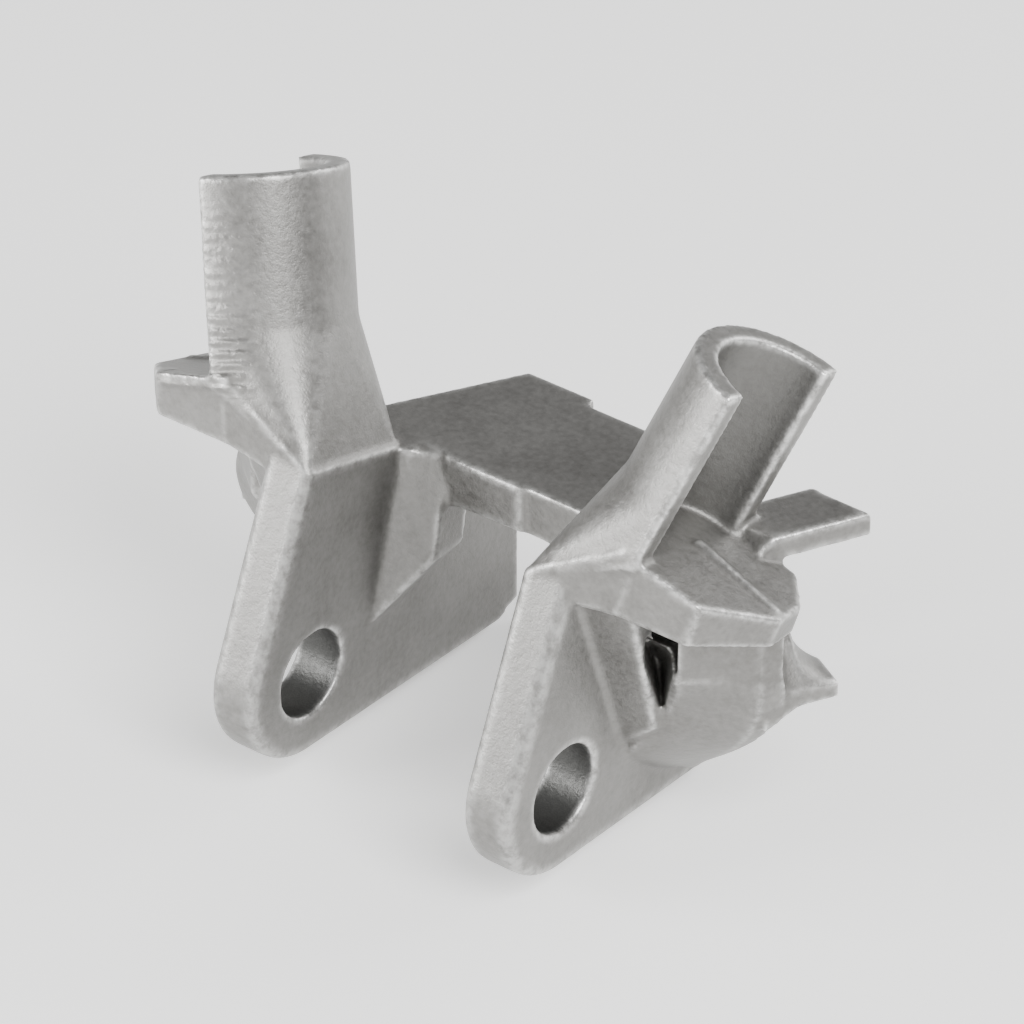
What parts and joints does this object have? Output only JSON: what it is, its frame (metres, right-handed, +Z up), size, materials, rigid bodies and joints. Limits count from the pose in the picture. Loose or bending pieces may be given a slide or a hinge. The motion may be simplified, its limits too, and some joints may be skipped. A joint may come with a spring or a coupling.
{
  "type": "motorcycle mounting bracket",
  "caption": "One-piece cast frame bracket with twin bored ears, a deck between them and leaning half-round tube sockets on either side.",
  "frame": {"origin": "on the axis of the cross bore, midway between the two ears", "axes": "+X along the cross bore, +Y to the rear, towards the deck, +Z up, the way the sockets open"},
  "size_m": [0.138, 0.0779, 0.1106],
  "materials": {
    "cast_metal": "satin cast skin, fine-grained, bare"
  },
  "bodies": {
    "root": {"bracket": "cast_metal"}
  },
  "joints": []
}
